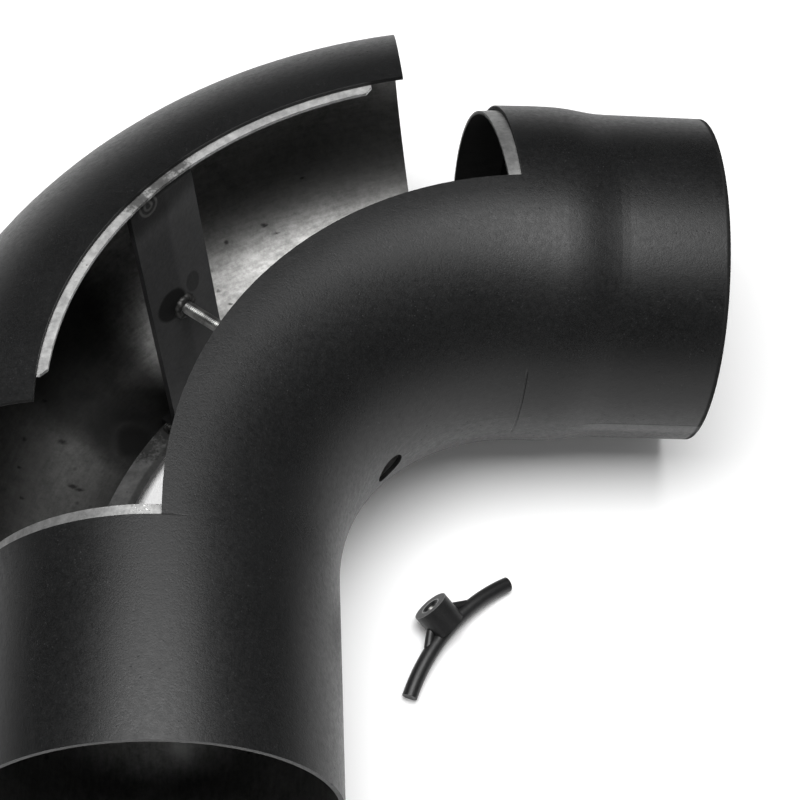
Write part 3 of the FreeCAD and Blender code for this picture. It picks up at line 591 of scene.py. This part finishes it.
# Handle: a round bar bent to a bow with a bored boss welded over its middle, painted with the
# elbow. It lies on the table on its boss and on the bow's two ends.
HANDLE_AT = (0.1341, 0.1181, -0.06976)
HANDLE_TURN = math.radians(50.2)
HANDLE_TILT = math.radians(29.48)
BOSS_TOP = 0.0134
turned = Matrix.Rotation(HANDLE_TURN, 4, "Z") @ Matrix.Rotation(HANDLE_TILT, 4, "X")
handle_place = Matrix.Translation(HANDLE_AT) @ turned
bar_paint, at = finish("handle_paint")
grain = at.noise(1100.0, 2.0, 0.6)
clouds = at.noise(60.0, 3.0, 0.55)
shade = grain.grade(0.25, 0.8) * 0.5 + clouds.grade(0.3, 0.7) * 0.5
bx, by, bz = at.carried(handle_place.inverted()).axes()
from_axis = (bx * bx + bz * bz) ** 0.5
# Painted highlight: pale rings on the boss's end face, at the mouth of its bore and at its outer edge,
# with a few pale grains between.
edges = from_axis.near(0.0045, 0.0003, 0.0002).high(from_axis.near(0.0084, 0.0001, 0.0003) * 0.5)
end_face_highlight = by.grade(BOSS_TOP, BOSS_TOP + 0.00005) * (edges + grain.grade(0.55, 0.7) * 0.15)
colour = end_face_highlight.over(shade.tint((0.007, 0.007, 0.0072), (0.016, 0.016, 0.0165)), (0.2, 0.2, 0.2, 1))
close(at, {"Base Color": colour, "Roughness": 0.38 + grain * 0.1, "Specular IOR Level": 0.45},
      grain * 0.5 + clouds * 0.5, 0.00015)
for name in ("handle_bow", "handle_boss", "handle_stub_left", "handle_stub_right"):
    dress(nodes[name], bar_paint)


def tapped_bore(start, length, radius, pitch):
    """Radius at (s, angle) = radius - 0.1 mm - 0.55 * pitch * wave(s, angle) along the boss, and
    back outside it at almost the full radius, so that the thread is a closed sleeve."""
    s, angle, wave = thread_grid(start, length, pitch)
    inner = radius - 0.0001 - 0.55 * pitch * wave
    r = np.concatenate([inner, np.full_like(inner, radius - 0.00004)])
    s = np.concatenate([s, s[::-1]]) + 0 * angle
    points = np.stack([r * np.sin(angle), s, r * np.cos(angle)], -1)
    return np.concatenate([points, points[:1]])


BORE_START = 0.0045
BORE_LENGTH = 0.0078
HANDLE_BORE_R = 0.0032
sleeve = placed(tapped_bore(BORE_START, BORE_LENGTH, HANDLE_BORE_R, PITCH), handle_place)
bore_thread = tube_grid("handle_bore_thread", sleeve, rod_steel, cap_ends=False)
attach(bore_thread, "elbow")

# Welds of the door: the stud's foot has a rippled ring, the yoke's upper foot a plug in a welded
# ring and its lower foot a short bead at its side. All were laid by hand and left unground.
bead_steel, at = finish("weld_bead_steel")
lumps = at.noise(300.0, 3.0, 0.6)
colour = lumps.grade(0.3, 0.7).tint((0.011, 0.011, 0.0108), (0.065, 0.064, 0.062))
close(at, {"Base Color": colour, "Metallic": 0.6, "Roughness": 0.42 + lumps * 0.15}, lumps, 0.0004)


def bead(name, replaced, centres, sideways, upwards, thickness, ripple, seed, closed):
    """Swept lump: at step i, thickness * (1 + 0.16 |sin(ripple i)| + wander) round the centre line,
    across the two directions given. wander is a sum of a few random waves."""
    steps = len(centres)
    i = np.arange(steps)[:, None]
    turn_at = np.linspace(0, 2 * np.pi, 20, endpoint=False)[None, :]
    waves = np.random.default_rng(seed).uniform(0, 6.28, (4, 2))
    wander = sum(0.05 * np.sin((k + 2) * 6.28 * i / steps + a) * np.cos((k + 1) * turn_at + b)
                 for k, (a, b) in enumerate(waves))
    taper = 1.0 if closed else np.sqrt(np.clip(1 - (2 * i / (steps - 1) - 1) ** 6, 0.02, 1))
    r = thickness * taper * (1 + 0.16 * np.abs(np.sin(ripple * i)) + wander)
    points = (centres[:, None, :] + (r * np.cos(turn_at))[..., None] * sideways[:, None, :]
              + (r * np.sin(turn_at))[..., None] * upwards[:, None, :])
    if closed:
        points = np.concatenate([points, points[:1]])
    lump = tube_grid(name, placed(points, door_local), bead_steel, cap_ends=not closed)
    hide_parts(replaced)
    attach(lump, "door")


RING_STEPS = 96
ring_turn = np.linspace(0, 2 * np.pi, RING_STEPS, endpoint=False)
ones = np.ones(RING_STEPS)
zeros = np.zeros(RING_STEPS)
ring_out = np.stack([zeros, np.cos(ring_turn), np.sin(ring_turn)], -1)
STUD_FOOT = (STUD_START - 0.0004, 0, 0)
STUD_RING_R = 0.0042
bead("stud_weld_ring", "stud_weld", STUD_FOOT + ring_out * STUD_RING_R, ring_out,
     np.stack([-ones, zeros, zeros], -1), 0.0017, math.pi * 11 / RING_STEPS, 3, True)
PLUG_AT = (0.1694, 0.003, 0.0694)
PLUG_RING_R = 0.0018
plug_out = ring_out[:, [1, 2, 0]]
bead("yoke_plug_weld", "yoke_weld_upper", PLUG_AT + plug_out * PLUG_RING_R, plug_out,
     np.stack([zeros, zeros, -ones], -1), 0.0014, math.pi * 7 / RING_STEPS, 8, True)
BEAD_STEPS = 40
BEAD_AT = (0.1652, 0.0189, -0.0719)
BEAD_RUN = (0.005, 0, 0)
along = np.linspace(0, 1, BEAD_STEPS)[:, None]
each = np.ones((BEAD_STEPS, 1))
bead("yoke_side_bead", "yoke_weld_lower", BEAD_AT + along * BEAD_RUN, each * (0, 1, 0),
     each * (0, 0, 1), 0.0022, math.pi * 4 / BEAD_STEPS, 5, False)
